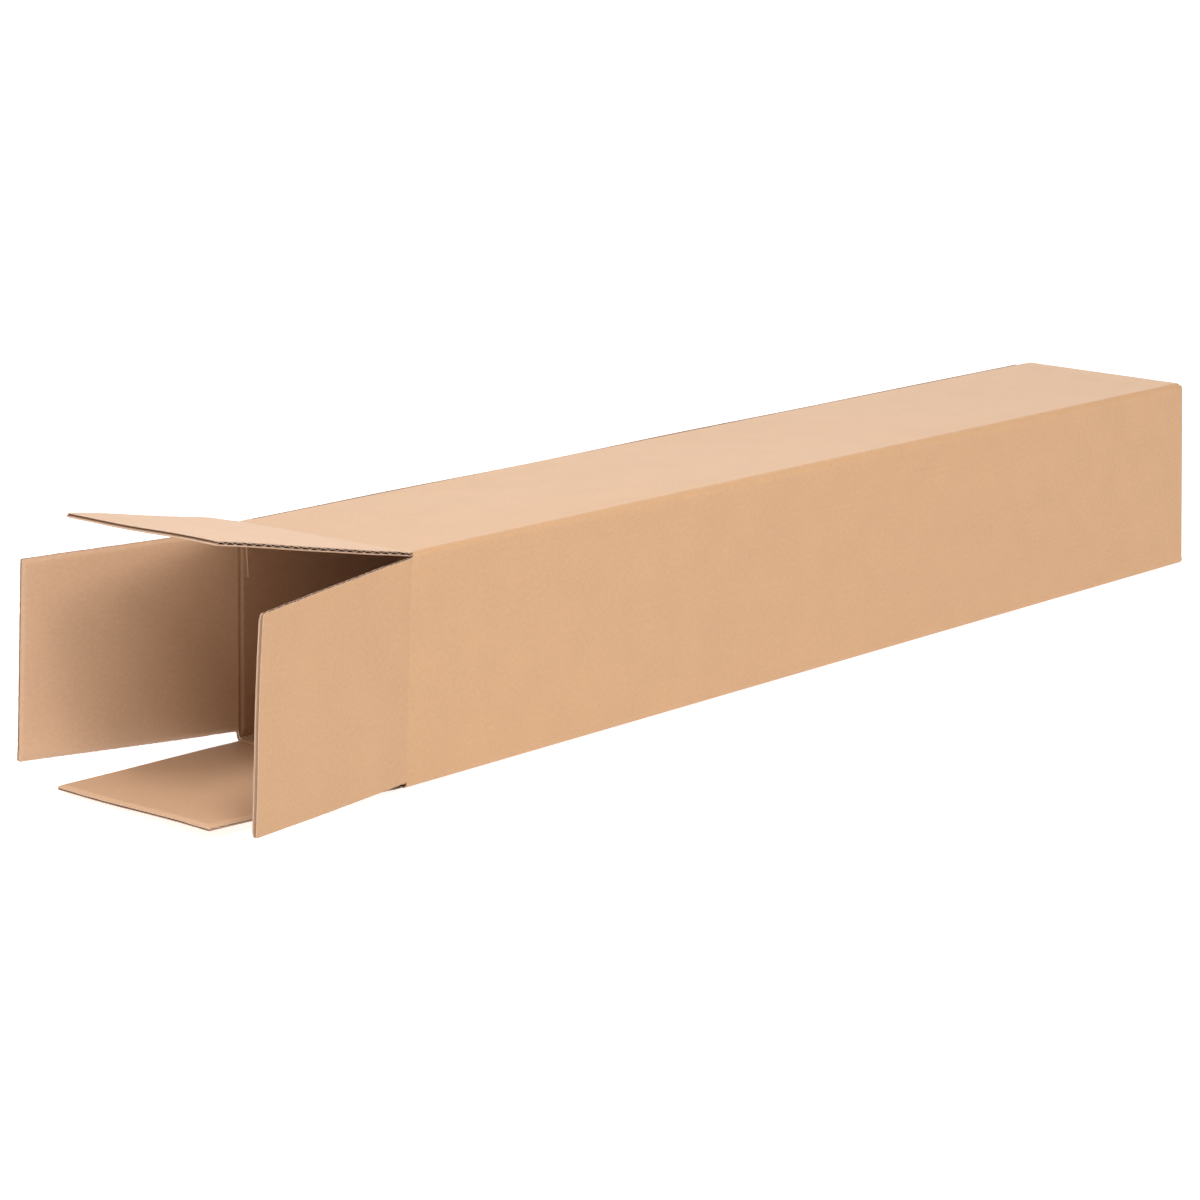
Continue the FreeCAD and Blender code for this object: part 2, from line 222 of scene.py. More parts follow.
# The four flaps: body, outward normal, direction along the hinge, length, how far
# open, the flap's two side edges at the root and at the free edge (t along the
# hinge), how far the bend strays from the hinge line at the two ends, offsets of the
# free corners (along, across, outwards), and how thick the cut edges are.
HALF_T = TALL / 2
FLAPS = {
    "flap_top": dict(
        body="top_flap", wall="top", n=(0, 0, 1), a=(0, 1, 0), long=127.6, open=11.1,
        root=(-67.03, HALF - SLOT_Y), tip=(-60.6, 60.6), stray=(3.1, -3.0), fillet=(0.5, 0.6),
        free=((1.66, 0.02, 1.73), (1.01, -0.53, -2.27)), bow=0.6, round=(0.8, 0.8),
        side=2.35, end=2.45, phase=0.0, seed=21),
    "flap_bottom": dict(
        body="bottom_flap", wall="bottom", n=(0, 0, -1), a=(0, 1, 0), long=128.4, open=-1.0,
        root=(-HALF + SLOT_Y, 63.2), tip=(-60.6, 60.6), stray=(0.0, 0.0), fillet=(0.6, 0.8),
        free=((-1.44, -0.23, -3.07), (1.19, 0.55, 0.18)), bow=-0.5, round=(0.9, 0.9),
        side=1.75, end=1.75, phase=0.0, seed=22),
    "flap_back": dict(
        body="back_flap", wall="back", n=(0, 1, 0), a=(0, 0, 1), long=129.4, open=15.6,
        root=(4.0 - HALF_T, HALF_T - SLOT_Z), tip=(2.8 - 60.9, 60.9 - 2.8), stray=(2.0, 2.5), fillet=(2.3, 0.6),
        free=((2.5, 0.46, 1.71), (-2.15, -0.49, -1.46)), bow=0.8, round=(0.9, 0.9),
        side=2.35, end=2.5, phase=0.0, seed=23),
    "flap_front": dict(
        body="front_flap", wall="front", n=(0, -1, 0), a=(0, 0, 1), long=130.4, open=10.4,
        root=(3.7 - HALF_T, 128.36 - HALF_T), tip=(2.8 - 60.9, 60.9 - 2.8), stray=(-2.3, 0.1), fillet=(0.05, 0.5),
        free=((1.8, -0.45, -2.71), (-1.0, 0.1, 1.73)), bow=0.7, round=(1.0, 1.6),
        side=2.35, end=2.95, phase=0.0, seed=24),
}
BY_WALL = {f["wall"]: f for f in FLAPS.values()}
# how far inside its hinge line the board is pressed
PRESS = {"flap_top": 0.0, "flap_bottom": 0.0, "flap_back": 2.2, "flap_front": 0.0}


def bend(wall, x, t, h):
    """Where a point of a wall and its flap comes to when the flap is open: the
    place along the sleeve and the distance out from the wall's outer plane."""
    f = BY_WALL[wall]
    lo, hi = f["root"]
    s = np.clip((t - lo) / (hi - lo), 0, 1)
    stray = f["stray"][0] * (1 - s) + f["stray"][1] * s
    hx = HINGE[f["body"]][0] + stray
    d = hx - x
    phi = math.radians(f["open"]) * smooth((d - BEND_FROM) / (BEND_TO - BEND_FROM))
    return hx - d * np.cos(phi) - h * np.sin(phi), d * np.sin(phi) - h * np.cos(phi), stray


# ------------------------------------------------------------------ section of the sleeve
# Columns of the sheet, from the back wall's cut edge down and round to the end
# of the glue lap: point on the outer face, outward normal, wall.
COLS = []


def col(y, z, ny, nz, wall):
    COLS.append((y, z, ny, nz, wall))


def arc(cy, cz, r, a0, a1, n, wall="fold"):
    for k in range(n + 1):
        a = math.radians(a0 + (a1 - a0) * k / n)
        col(cy + r * math.cos(a), cz + r * math.sin(a), math.cos(a), math.sin(a), wall)


FR = 3.2                      # outer radius of a long fold
JR = 3.0                      # fold of the top wall into the lap
ROLL = HALF - 6.5             # where that fold begins
K_LOW, K_TOP = HALF_T + BY_WALL["back"]["root"][0], HALF_T + BY_WALL["back"]["root"][1]
B_FRONT, B_BACK = BY_WALL["bottom"]["root"]
F_LOW = HALF_T + BY_WALL["front"]["root"][0]
side_z = lines((TALL - 1.2, 0.6), (K_TOP, 0.8), (TALL - 8.4, 1.6), (TALL - 13.2, 8.7),
               (13.2, 1.6), (8.4, 0.8), (K_LOW, 0.4), FR)[:-1]
for z in side_z:
    col(HALF, z, 1, 0, "back")
arc(HALF - FR, FR, FR, 0, -90, 9)
flat_y = lines((HALF - FR, 0.8), (B_BACK, 0.8), (HALF - 9, 1.6), (HALF - 13.8, 9.0),
               (-HALF + 13.8, 1.6), (-HALF + 9, 0.8), (B_FRONT, 0.6), -HALF + FR)
for y in flat_y[1:-1]:
    col(y, 0, 0, -1, "bottom")
arc(-HALF + FR, FR, FR, -90, -180, 9)
front_z = lines((FR, 0.9), (F_LOW, 0.8), (8.4, 1.6), (13.2, 8.7), (TALL - 13.2, 1.6),
                (TALL - 8.4, 0.8), TALL - FR)
for z in front_z[1:-1]:
    col(-HALF, z, -1, 0, "front")
arc(-HALF + FR, TALL - FR, FR, 180, 90, 9)
top_y = lines((-HALF + FR, 0.85), (-HALF + 9, 1.6), (-HALF + 13.8, 9.0), (HALF - 13.8, 1.6), (HALF - 9, 0.8), ROLL)
for y in top_y[1:-1]:
    col(y, TALL, 0, 1, "top")
col(ROLL, TALL, 0, 1, "top")
for a in (12.9, 25.8, 38.7, 51.57, 61.0, 71.0, 80.5, 90.0):
    a = math.radians(90 - a)
    col(ROLL + JR * math.cos(a), TALL - JR + JR * math.sin(a), math.cos(a), math.sin(a), "roll")
for y, z in ((64.62, 127.2), (64.9, 126.2), (65.0, 125.0), (65, 121), (65, 113), (65, 105),
             (65, 100), (65, 98.2), (65, LAP_LOW)):
    col(y, z, 1, 0, "lap")

CY, CZ, NY, NZ = (np.array([c[k] for c in COLS], float) for k in range(4))
WALL = [c[4] for c in COLS]
CV = np.concatenate([[0], np.cumsum(np.hypot(np.diff(CY), np.diff(CZ)))])


def nearest(y, z):
    return int(np.argmin(np.hypot(CY - y, CZ - z)))


# the columns where the slots cut off each wall's flap
c40 = math.radians(130)
SPAN = {
    "back": (nearest(HALF, K_TOP), nearest(HALF, K_LOW)),
    "bottom": (nearest(B_BACK, 0), nearest(B_FRONT, 0)),
    "front": (nearest(-HALF, F_LOW), nearest(-HALF + FR + FR * math.cos(math.radians(170)),
                                             TALL - FR + FR * math.sin(math.radians(170)))),
    "top": (nearest(-HALF + FR + FR * math.cos(c40), TALL - FR + FR * math.sin(c40)),
            nearest(ROLL + JR * math.cos(math.radians(38.43)), TALL - JR + JR * math.sin(math.radians(38.43)))),
}
CELL = [None] * (len(COLS) - 1)
for w, (j0, j1) in SPAN.items():
    for j in range(j0, j1):
        CELL[j] = w

# where each wall's sheet lies once it leaves the sleeve: flat, with the curve of
# the long fold beside it opened out
FY, FZ, FLAT = CY.copy(), CZ.copy(), np.zeros(len(COLS))
TNORM = {"back": (1, 0), "bottom": (0, -1), "front": (-1, 0), "top": (0, 1)}
a40, a90 = SPAN["top"][0], next(k for k in range(len(COLS)) if WALL[k] == "top") - 1
for j in range(a40, a90):
    FY[j], FZ[j], FLAT[j] = -HALF + FR - (CV[a90] - CV[j]), TALL, 1
r0 = max(k for k in range(len(COLS)) if WALL[k] == "top")
for j in range(r0 + 1, SPAN["top"][1] + 1):
    FY[j], FZ[j], FLAT[j] = ROLL + (CV[j] - CV[r0]), TALL, 1

# closed end: where each wall turns, and how far its flap sinks under those outside it
X_TURN = {"front": X_SHUT, "top": X_SHUT - 0.8, "back": X_SHUT - 2 * BOARD, "bottom": X_SHUT - 3 * BOARD}
SINK = {"front": 0.0, "top": BOARD - 0.8, "back": 0.0, "bottom": 0.0}
SHUT_LONG = {"bottom": 126.0, "top": 126.0, "back": 129.0, "front": 129.0}
MOUTH_END = {w: HINGE[f["body"]][0] + LIP for w, f in BY_WALL.items()}
ER = 3.2                      # outer radius of the folds at the closed end
X_COMMON = X_SHUT - 3 * BOARD - ER - 0.4   # last line shared by walls and corners
X_CORNER = X_SHUT - 1.5       # ends of the corner strips at the closed end
FULL = 4.6                    # radius the top front fold grows to, away from the mouth
# ends of the strips left at the four corners, by the first column after them
CORNER = np.full(len(COLS), X_MOUTH)
CORNER[:SPAN["back"][0] + 1] = MOUTH_END["top"]
CORNER[SPAN["back"][1]:SPAN["bottom"][0] + 1] = MOUTH_END["back"]
CORNER[SPAN["bottom"][1]:SPAN["front"][0] + 1] = MOUTH_END["top"]

mids, run = [], []
for k in range(len(COLS)):
    if WALL[k] in ("fold", "roll"):
        run.append(CV[k])
    elif run:
        mids.append(sum(run) / len(run))
        run = []
FOLD_DIST = np.min(np.abs(CV[:, None] - np.array(mids)[None]), 1)
TOP_FRONT = mids[2]

COL_TURN = np.full(len(COLS), 1e4)
COL_SINK = np.zeros(len(COLS))
COL_END = CORNER.copy()
for j, c in enumerate(CELL):
    if c:
        COL_TURN[j] = COL_TURN[j + 1] = X_TURN[c]
        COL_SINK[j] = COL_SINK[j + 1] = SINK[c]
        COL_END[j] = COL_END[j + 1] = MOUTH_END[c]
IN_WALL = [None] * len(COLS)
for w, (j0, j1) in SPAN.items():
    for j in range(j0, j1 + 1):
        IN_WALL[j] = w
FLAT_Y = np.array([TNORM[w][0] if w else NY[j] for j, w in enumerate(IN_WALL)], float)
FLAT_Z = np.array([TNORM[w][1] if w else NZ[j] for j, w in enumerate(IN_WALL)], float)
SLOT_DIST = np.full(len(COLS), 99.0)
for w, (j0, j1) in SPAN.items():
    for j in range(j0, j1 + 1):
        SLOT_DIST[j] = min(CV[j] - CV[j0], CV[j1] - CV[j])
ROUND = np.where(np.abs(CV - TOP_FRONT) < 9, 2.6, 0.6)   # how the corners are rounded off there
ON_FOLD = np.array([w == "fold" for w in WALL]) & (CY < 0) & (CZ > HALF_T)
BY_FRONT = np.array([w == "front" for w in WALL]) & (TALL - CZ < 13.2)
BY_TOP = np.array([w == "top" for w in WALL]) & (CY + HALF < 13.8)


def section(u, js):
    """Points of the outer face: the fold between the front and the top grows rounder
    away from the mouth, and the flat walls beside it give way."""
    r = FR + (FULL - FR) * smooth((u - X_MOUTH - 8) / 220)
    fy, fz = (CY[js] + HALF)[None, :], (TALL - CZ[js])[None, :]
    cy = np.where(ON_FOLD[js][None, :], fy * r / FR,
                  np.where(BY_TOP[js][None, :], r + (fy - FR) * (13.8 - r) / (13.8 - FR), fy))
    cz = np.where(ON_FOLD[js][None, :], fz * r / FR,
                  np.where(BY_FRONT[js][None, :], r + (fz - FR) * (13.2 - r) / (13.2 - FR), fz))
    return cy - HALF, TALL - cz


IS_LAP = np.array([1.0 if w == "lap" else 0.0 for w in WALL])
IS_ROLL = np.array([1.0 if w == "roll" else 0.0 for w in WALL])


def place(u, js, h):
    """Points of the sleeve sheet: u along it, columns js, depth h into the board."""
    u, h = np.broadcast_arrays(u, h)
    turn = COL_TURN[js][None, :] - ER
    s = u - turn
    quarter = ER * math.pi / 2
    phi = np.clip(s / ER, 0, math.pi / 2)
    past = np.maximum(s - quarter, 0)
    bent = s > 0
    lone = (COL_TURN[js] > 1e3)[None, :]
    rad = ROUND[js][None, :]
    into = np.clip(u - (X_SHUT - rad), 0, rad)
    h = h + np.where(lone, rad - np.sqrt(rad ** 2 - into ** 2), 0)
    x = np.where(bent, turn + (ER - h) * np.sin(phi), u)
    x = x - COL_SINK[js][None, :] * smooth(s / (quarter + 3.5))
    depth = np.where(bent, ER - (ER - h) * np.cos(phi) + past, h)
    # the lap's near end is cut on a slant
    shift = np.where(IS_LAP[js] > 0, 2.0 * (LAP_TOP - CZ[js]) / (LAP_TOP - LAP_LOW) - 2.6,
                     IS_ROLL[js] * -2.6 * np.clip((TALL - CZ[js] - 1.13) / (JR - 1.13), 0, 1))
    x = x + shift[None, :] * (1 - np.clip((u - X_MOUTH) / 30, 0, 1))
    # beyond the corners' ends a wall's sheet lies flat
    w = FLAT[js][None, :] * smooth((X_MOUTH + 2.0 - u) / 2.0)
    cy, cz = section(u, js)
    cy = cy * (1 - w) + FY[js][None, :] * w
    cz = cz * (1 - w) + FZ[js][None, :] * w
    ny = NY[js][None, :] * (1 - w)
    nz = NZ[js][None, :] * (1 - w) + w
    # past the fold an end flap lies flat
    turned = smooth(s / quarter)
    ny = ny * (1 - turned) + FLAT_Y[js][None, :] * turned
    nz = nz * (1 - turned) + FLAT_Z[js][None, :] * turned
    skin = np.where(bent, ER - ER * np.cos(phi) + past, 0)
    off = settle(np.stack([x, cy - skin * ny, cz - skin * nz], -1))
    y = cy - depth * ny
    z = cz - depth * nz
    # and bends out towards the flap where the crease lies inside the hinge line
    near = u < X_MOUTH + 4
    for wall, f in BY_WALL.items():
        n, a = f["n"], f["a"]
        on = near & np.array([IN_WALL[j] == wall for j in js])[None, :]
        if not on.any():
            continue
        t = (cy * a[1] + (cz - HALF_T) * a[2]) if wall in ("front", "back") else cy
        bx, out, _ = bend(wall, x, t, depth)
        out = out + depth
        x = np.where(on, bx, x)
        y = np.where(on, y + out * n[1], y)
        z = np.where(on, z + out * n[2], z)
    return np.stack([x, y, z], -1) + off


def thickness(u, js):
    """Board thickness of the sleeve: crushed at the long folds, beside a score and in the lap."""
    fold = 0.75 * np.exp(-(FOLD_DIST[js] / 3.4) ** 2)[None, :]
    d = COL_END[js][None, :] - LIP - u + np.array([2.2 if IN_WALL[j] == "back" else 0.0 for j in js])[None, :]
    near = np.array([1.0 if IN_WALL[j] else 0.0 for j in js])[None, :]
    t = BOARD - 0.03 - fold - 2.0 * IS_LAP[js][None, :]
    side = 0.65 * np.exp(-(SLOT_DIST[js] / 1.8) ** 2)[None, :] * smooth((X_MOUTH + 2.5 - u) / 2.5)
    return np.minimum(t, np.where(near > 0, np.minimum(crush(d), BOARD - side) - 0.03, t))


def bow(u, js):
    """Slow unevenness of the walls, inwards, away from folds and ends."""
    win = smooth(FOLD_DIST[js] / 40)[None, :]
    ends = smooth((u - X_MOUTH - 6) / 120) * smooth((X_COMMON - 10 - u) / 90)
    return 0.45 * win * ends * waves(3, u, CV[js][None, :] + 0 * u, 260)


def sleeve_sheet(u, js, layer):
    v = np.broadcast_to(CV[js][None, :], u.shape)
    return np.stack([u, v, np.full(u.shape, layer)], -1)


def edge_distance(u, js):
    """Distance to the nearest cut edge of the sleeve's sheet."""
    corner = np.array([0.0 if IN_WALL[j] else 1.0 for j in js])
    e = np.where(corner[None, :] > 0, np.abs(u - CORNER[js][None, :]), 50.0)
    return np.minimum(e, (CV[js] - CV[0])[None, :])


# ------------------------------------------------------------------ materials
def node(tree, kind, **vals):
    n = tree.nodes.new(kind)
    for k, v in vals.items():
        setattr(n, k, v)
    return n


def link(tree, a, b):
    tree.links.new(a, b)


def ramp(tree, fac, stops):
    r = node(tree, "ShaderNodeValToRGB")
    el = r.color_ramp.elements
    while len(el) < len(stops):
        el.new(0.5)
    for e, (p, c) in zip(el, stops):
        e.position = p
        e.color = (*c, 1) if len(c) == 3 else c
    link(tree, fac, r.inputs["Fac"])
    return r.outputs["Color"]


def math_node(tree, op, a, b=None, clamp=False):
    m = node(tree, "ShaderNodeMath", operation=op, use_clamp=clamp)
    for k, x in enumerate((a, b)):
        if x is None:
            continue
        if isinstance(x, (int, float)):
            m.inputs[k].default_value = x
        else:
            link(tree, x, m.inputs[k])
    return m.outputs[0]


def remap(tree, x, a, b, c, d):
    m = node(tree, "ShaderNodeMapRange")
    link(tree, x, m.inputs["Value"])
    for k, v in zip(("From Min", "From Max", "To Min", "To Max"), (a, b, c, d)):
        m.inputs[k].default_value = v
    return m.outputs["Result"]


def noise(tree, vec, scale, detail=2.0, rough=0.5, stretch=(1, 1, 1)):
    mp = node(tree, "ShaderNodeMapping")
    mp.inputs["Scale"].default_value = stretch
    link(tree, vec, mp.inputs["Vector"])
    n = node(tree, "ShaderNodeTexNoise")
    n.inputs["Scale"].default_value = scale
    n.inputs["Detail"].default_value = detail
    n.inputs["Roughness"].default_value = rough
    link(tree, mp.outputs[0], n.inputs["Vector"])
    return n.outputs["Fac"]


def mix(tree, fac, a, b, blend="MIX"):
    m = node(tree, "ShaderNodeMix", data_type="RGBA", blend_type=blend, clamp_factor=True)
    for key, x in ((0, fac), (6, a), (7, b)):
        if isinstance(x, (int, float)):
            m.inputs[key].default_value = x
        elif isinstance(x, tuple):
            m.inputs[key].default_value = (*x, 1)
        else:
            link(tree, x, m.inputs[key])
    return m.outputs[2]


KRAFT = (0.492, 0.288, 0.151)
KRAFT_IN = (0.492, 0.307, 0.188)


def kraft(name, base=KRAFT, rim=False):
    """Smooth brown liner: fine fibres along the sheet, soft cloudiness, sparse
    specks, and a trace of the flutes; paler and rougher where it is cut."""
    mat = bpy.data.materials.new(name)
    mat.use_nodes = True
    t = mat.node_tree
    bsdf = t.nodes["Principled BSDF"]
    at = node(t, "ShaderNodeAttribute", attribute_name="sheet")
    vec = at.outputs["Vector"]
    cloud = noise(t, vec, 0.035, 3, 0.55)
    mottle = noise(t, vec, 0.42, 4, 0.62, (0.75, 1.0, 1.0))
    fibre = noise(t, vec, 2.1, 3, 0.6, (0.32, 1.25, 1.0))
    weave = noise(t, vec, 1.5, 2, 0.6, (1.3, 0.28, 1.0))
    tone = math_node(t, "ADD", remap(t, cloud, 0.3, 0.7, -0.022, 0.022),
                     math_node(t, "ADD", remap(t, mottle, 0.25, 0.75, -0.055, 0.055),
                               math_node(t, "ADD", remap(t, fibre, 0.25, 0.75, -0.07, 0.07),
                                         remap(t, weave, 0.25, 0.75, -0.05, 0.05))))
    # brightness as a factor on the base colour
    lift = math_node(t, "ADD", tone, 1.0)
    colour = node(t, "ShaderNodeVectorMath", operation="SCALE")
    colour.inputs[0].default_value = base
    link(t, lift, colour.inputs["Scale"])
    c = colour.outputs[0]
    # a little warmer or cooler from place to place
    c = mix(t, remap(t, noise(t, vec, 0.16, 3, 0.6), 0.35, 0.7, 0.0, 0.10), c,
            (base[0] * 1.01, base[1] * 0.955, base[2] * 0.88))
    # dark and pale specks of fibre
    vor = node(t, "ShaderNodeTexVoronoi", feature="F1")
    mp = node(t, "ShaderNodeMapping")
    mp.inputs["Scale"].default_value = (0.16, 0.30, 1.0)
    link(t, vec, mp.inputs["Vector"])
    link(t, mp.outputs[0], vor.inputs["Vector"])
    vor.inputs["Scale"].default_value = 1.0
    dot = remap(t, vor.outputs["Distance"], 0.05, 0.11, 1.0, 0.0)
    pick = node(t, "ShaderNodeSeparateColor")
    link(t, vor.outputs["Color"], pick.inputs[0])
    some = math_node(t, "GREATER_THAN", pick.outputs[0], 0.72)
    dark = math_node(t, "MULTIPLY", math_node(t, "MULTIPLY", dot, some), 0.22)
    c = mix(t, dark, c, (base[0] * 0.55, base[1] * 0.48, base[2] * 0.42))
    pale = math_node(t, "LESS_THAN", pick.outputs[0], 0.16)
    c = mix(t, math_node(t, "MULTIPLY", math_node(t, "MULTIPLY", dot, pale), 0.45), c,
            (base[0] * 1.28, base[1] * 1.34, base[2] * 1.5))
    # cut edges are scuffed paler in patches
    ed = node(t, "ShaderNodeAttribute", attribute_name="edge")
    near = remap(t, ed.outputs["Fac"], 0.0, 0.9, 1.0, 0.0)
    patch = remap(t, noise(t, vec, 0.55, 3, 0.6), 0.48, 0.62, 0.0, 1.0)
    c = mix(t, math_node(t, "MULTIPLY", math_node(t, "MULTIPLY", near, patch), 0.45), c,
            (base[0] * 1.12, base[1] * 1.24, base[2] * 1.5))
    # paler along the long folds, most on the top front fold: partly rubbed liner, partly a painted highlight
    fo = node(t, "ShaderNodeAttribute", attribute_name="fold")
    rub_and_painted_highlight = remap(t, noise(t, vec, 0.3, 3, 0.6), 0.35, 0.75, 0.15, 1.0)
    c = mix(t, math_node(t, "MULTIPLY", math_node(t, "MULTIPLY", fo.outputs["Fac"], rub_and_painted_highlight), 0.45), c,
            (base[0] * 1.13, base[1] * 1.16, base[2] * 1.2))
    if rim:
        c = mix(t, remap(t, noise(t, vec, 1.6, 3, 0.7), 0.35, 0.7, 0.25, 0.85), c,
                (base[0] * 0.94, base[1] * 0.96, base[2] * 1.03))
    link(t, c, bsdf.inputs["Base Color"])
    rough = remap(t, mottle, 0.3, 0.7, 0.57 if not rim else 0.85, 0.65 if not rim else 0.95)
    link(t, rough, bsdf.inputs["Roughness"])
    bsdf.inputs["IOR"].default_value = 1.46
    bsdf.inputs["Specular IOR Level"].default_value = 0.5
    # relief: fibres, and the flutes showing through very faintly
    wave = node(t, "ShaderNodeSeparateXYZ")
    link(t, vec, wave.inputs[0])
    flute = math_node(t, "SINE", math_node(t, "MULTIPLY", wave.outputs[0], TWO_PI / PITCH))
    height = math_node(t, "ADD", math_node(t, "MULTIPLY", fibre, 0.55),
                       math_node(t, "ADD", math_node(t, "MULTIPLY", mottle, 0.7),
                                 math_node(t, "MULTIPLY", flute, 0.10)))
    bump = node(t, "ShaderNodeBump")
    bump.inputs["Strength"].default_value = 0.30 if not rim else 0.6
    bump.inputs["Distance"].default_value = 0.00006
    link(t, height, bump.inputs["Height"])
    link(t, bump.outputs[0], bsdf.inputs["Normal"])
    return mat


M_FACE = kraft("kraft_face")
M_RIM = kraft("kraft_cut_edge", base=(0.53, 0.355, 0.245), rim=True)
M_WEB = kraft("kraft_flute", base=(0.36, 0.215, 0.125), rim=True)
M_IN = kraft("kraft_face_inner", base=KRAFT_IN)
MATS = [M_FACE, M_RIM, M_WEB, M_IN]
FACE, RIM, DARK, INNER = 0, 1, 2, 3


# ------------------------------------------------------------------ sleeve
def sleeve_mask(us, js):
    """Which cells of the sleeve's sheet exist.  us are the lines' u, by column."""
    n = us.shape[0]
    mask = np.zeros((n - 1, len(js) - 1), bool)
    for q in range(len(js) - 1):
        j = js[q]
        mid = (us[:-1, q] + us[1:, q]) / 2
        w = CELL[j]
        if w:
            mask[:, q] = mid > MOUTH_END[w]
        else:
            end = max(CORNER[j], CORNER[j + 1]) if WALL[j] in ("roll", "lap") else min(CORNER[j], CORNER[j + 1])
            shut = X_CORNER if min(COL_TURN[j], COL_TURN[j + 1]) > X_SHUT - 1 and CY[j] < 0 else X_COMMON
            mask[:, q] = (mid > end) & (mid < shut)
            if WALL[j] == "lap" or WALL[j + 1] == "lap":
                mask[:, q] &= mid < X_COMMON - 8
    return mask


near_u = lines((MOUTH_END["bottom"], 0.53), (MOUTH_END["back"], 0.53), (MOUTH_END["top"], 0.4),
               (X_MOUTH, 0.6), (X_MOUTH + 6, 3.0), (X_MOUTH + 24, 9.0), (X_COMMON - 30, 6.0), X_COMMON)
far_s = lines((-0.0, ER * math.pi / 2 / 9), (ER * math.pi / 2, 2.0), (ER * math.pi / 2 + 6, 6.5),
              (ER * math.pi / 2 + 118, 1.5), ER * math.pi / 2 + 126 - ER)
JS = np.arange(len(COLS))
U = np.zeros((len(near_u) + len(far_s), len(JS)))
U[:len(near_u)] = near_u[:, None]
for q, j in enumerate(JS):
    t = COL_TURN[j]
    if t > 1e3:
        t = X_TURN["front"]
    full = next((SHUT_LONG[w] for w in X_TURN if abs(X_TURN[w] - t) < 0.01), 126)
    s = np.where(far_s > ER * math.pi / 2 + 6, ER * math.pi / 2 + 6 + (far_s - ER * math.pi / 2 - 6) *
                 (full - ER - 6) / (126 - ER - 6), far_s)
    U[len(near_u):, q] = t - ER + s

mask = sleeve_mask(U, JS)
T = thickness(U, JS)
B = bow(U, JS)
# weight of the paler band along the long folds, heaviest on the top front fold, outer liner only: partly rubbed
# liner, partly a painted highlight
fold_rub_and_highlight = np.exp(-((CV[JS] - TOP_FRONT) / 2.6) ** 2)[None, :] + 0.6 * np.exp(-(FOLD_DIST / 2.6) ** 2)[None, :]
fold_rub_and_highlight = np.clip(fold_rub_and_highlight, 0, 1) * np.ones_like(U)
edge_w = edge_distance(U, JS)
# cut ends of the walls at the corners, slightly uneven
uneven = 0.08 * ragged(11, CV[JS], 2.0)[None, :] * (np.abs(U - CORNER[JS][None, :]) < 0.01) * \
    np.array([0.0 if IN_WALL[j] else 1.0 for j in JS])[None, :]

outer = Build()
outer.shell(place(U + uneven, JS, B), place(U + uneven, JS, B + LINER), mask,
            sleeve_sheet(U, JS, 0), edge_w, fold_rub_and_highlight, (FACE, DARK, RIM))
o_outer = outer.write("tube_outer_liner", MATS)

inner = Build()
inner.shell(place(U + uneven, JS, B + T), place(U + uneven, JS, B + T - LINER), mask,
            sleeve_sheet(U, JS, 900), edge_w, fold_rub_and_highlight * 0, (INNER, DARK, RIM))
o_inner = inner.write("tube_inner_liner", MATS)

# the corrugated medium, where a cut edge shows it
web = Build()


def medium(t, theta):
    """Depth of the medium's middle in board t thick: broad crowns under the outer
    liner, narrower ones on the inner liner."""
    top, low = LINER + WEB / 2, np.maximum(t - LINER - WEB / 2, LINER + WEB / 2 + 0.03)
    return top + (low - top) * (0.5 + 0.5 * np.cos(theta)) ** 1.9


def web_shell(us, js, mask=None):
    js = np.array(js)
    u = np.broadcast_to(us[:, None], (len(us), len(js)))
    t = thickness(u, js)
    h = medium(t, TWO_PI * (u - X_MOUTH) / PITCH) + bow(u, js)
    if mask is None:
        mask = sleeve_mask(u, js)
    web.shell(place(u, js, h - WEB / 2), place(u, js, h + WEB / 2), mask,
              sleeve_sheet(u, js, 400), u * 0 + 5, u * 0, (DARK, DARK, RIM))


step = PITCH / 12
web_shell(np.concatenate([lines((MOUTH_END["bottom"], 0.457), (MOUTH_END["back"], 0.457), (MOUTH_END["top"], 0.457),
                                X_MOUTH), X_MOUTH + np.arange(1, 26) * step]), JS)
# along the back wall's cut edge
web_shell(X_MOUTH + np.arange(0, int((X_COMMON - X_MOUTH) / step)) * step, JS[:4])
# along the lap's lower edge, near the mouth
web_shell(X_MOUTH + np.arange(0, 300) * step, JS[-3:])
# the end flaps' side edges
for w, (j0, j1) in SPAN.items():
    js = list(range(j0, j1 + 1))
    for pick in (js[:3], js[-3:]):
        start = X_TURN[w] - ER
        us = start + np.arange(0, int((SHUT_LONG[w] - ER + ER * math.pi / 2) / step) + 1) * step
        m = np.ones((len(us) - 1, len(pick) - 1), bool)
        web_shell(us, pick, m)
o_web = web.write("tube_flutes", MATS)

for ob in (o_outer, o_inner, o_web):
    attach(ob, "root")
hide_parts("tube_sleeve")


# ------------------------------------------------------------------ hinged flaps
X_AX = np.array([1.0, 0, 0])


def v_of(wall, t):
    """Sheet coordinate v of a point t along a wall's hinge."""
    ks = [k for k in range(len(COLS)) if WALL[k] == wall]
    a = CY[ks] if wall in ("top", "bottom") else CZ[ks] - HALF_T
    o = np.argsort(a)
    return np.interp(t, a[o], CV[ks][o])


